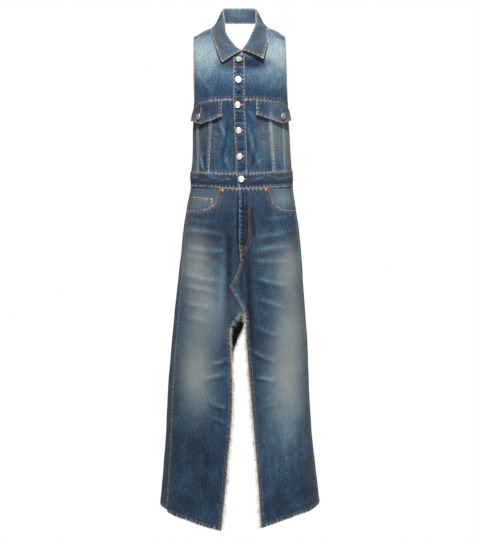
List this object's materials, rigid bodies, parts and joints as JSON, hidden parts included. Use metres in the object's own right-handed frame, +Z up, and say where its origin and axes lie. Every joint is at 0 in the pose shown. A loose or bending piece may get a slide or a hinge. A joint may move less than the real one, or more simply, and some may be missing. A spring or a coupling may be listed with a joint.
{
  "type": "denim maxi dress",
  "caption": "Sleeveless denim maxi dress in its worn form: a buttoned jacket bodice with a halter collar, and a skirt of opened jeans with frayed slits.",
  "frame": {"origin": "nape: on the inner face of the neck band at the centre back, a little above its lower edge", "axes": "+Z up, the dress's front faces -Y, +X is on a viewer's right when they face the front"},
  "size_m": [0.4548, 0.3184, 1.4304],
  "materials": {
    "denim_faded": "worn indigo twill, faded pale",
    "denim_mid": "worn indigo twill, soft sheen",
    "denim_skirt": "worn indigo twill, faded at the thighs",
    "loose_threads": "matt cream cotton threads",
    "silver_metal": "satin, plain face",
    "copper_metal": "satin copper"
  },
  "bodies": {
    "root": {"yoke_left": "denim_faded", "yoke_right": "denim_faded", "collar_leaf": "denim_faded", "neck_band": "denim_faded", "chest_pocket_left": "denim_faded", "chest_pocket_right": "denim_faded", "coin_pocket": "denim_faded", "front_centre_left": "denim_mid", "front_centre_right": "denim_mid", "front_side_left": "denim_mid", "front_side_right": "denim_mid", "side_left": "denim_mid", "side_right": "denim_mid", "bodice_back": "denim_mid", "placket": "denim_mid", "flap_left": "denim_mid", "flap_right": "denim_mid", "shoulder_left": "denim_mid", "shoulder_right": "denim_mid", "waistband_left": "denim_mid", "waistband_right": "denim_mid", "waistband_back": "denim_mid", "pocket_facing_left": "denim_mid", "pocket_facing_right": "denim_mid", "front_leg_left": "denim_skirt", "front_leg_right": "denim_skirt", "back_leg_left": "denim_skirt", "back_leg_right": "denim_skirt", "fray_front_left": "loose_threads", "fray_front_right": "loose_threads", "fray_back_left": "loose_threads", "fray_back_right": "loose_threads", "button_1": "silver_metal", "button_2": "silver_metal", "button_3": "silver_metal", "button_4": "silver_metal", "button_5": "silver_metal", "button_waist": "silver_metal", "button_flap_left": "silver_metal", "button_flap_right": "silver_metal", "rivet_pocket_left": "copper_metal", "rivet_pocket_right": "copper_metal", "rivet_coin_left": "copper_metal", "rivet_coin_right": "copper_metal"}
  },
  "joints": []
}
